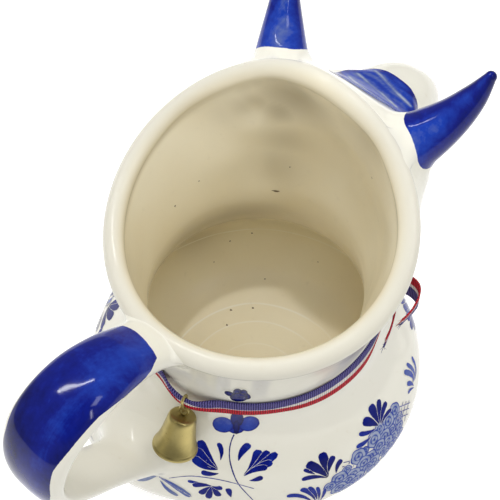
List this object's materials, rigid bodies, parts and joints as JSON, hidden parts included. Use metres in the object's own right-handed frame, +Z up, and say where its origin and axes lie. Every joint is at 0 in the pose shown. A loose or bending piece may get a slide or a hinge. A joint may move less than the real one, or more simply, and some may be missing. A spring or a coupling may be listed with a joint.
{
  "type": "cow creamer jug",
  "caption": "Glazed ceramic cream jug shaped as a cow's head and body, with horns, a strap handle and a small brass bell hung from a ribbon round its neck.",
  "frame": {"origin": "centre of the flat foot, on the surface it stands on", "axes": "+Z up; -Y the way the cow's muzzle faces, so +Y is the handle's side; +X the cow's left side"},
  "size_m": [0.1016, 0.1594, 0.1335],
  "materials": {
    "glaze": "glossy cream tin glaze",
    "blue_glaze": "glossy cobalt blue",
    "ribbon": "ribbed grosgrain in navy, white and red",
    "brass": "dull old brass"
  },
  "bodies": {
    "jug": {"jug_body": "glaze", "handle": "blue_glaze", "left_horn": "blue_glaze", "right_horn": "blue_glaze", "ribbon_band": "ribbon", "ribbon_knot": "ribbon", "ribbon_long_tail": "ribbon", "ribbon_short_tail": "ribbon"},
    "ring": {"bell_ring": "brass"},
    "bell": {"bell_shell": "brass", "bell_loop": "brass"},
    "clapper": {"clapper": "brass"}
  },
  "joints": [
    {"name": "ring_rock", "type": "hinge", "parent": "jug", "child": "ring", "pos_m": [-0.00804, 0.03951, 0.06587], "axis": [-0.1994, 0.9799, 0], "range_deg": [-12, 12]},
    {"name": "bell_swing", "type": "hinge", "parent": "ring", "child": "bell", "pos_m": [-0.00804, 0.03951, 0.06177], "axis": [0.9799, 0.1994, 0], "range_deg": [0, 60]},
    {"name": "clapper_swing", "type": "hinge", "parent": "bell", "child": "clapper", "pos_m": [-0.00869, 0.04272, 0.05548], "axis": [0.9799, 0.1994, 0], "range_deg": [-3, 50]}
  ]
}
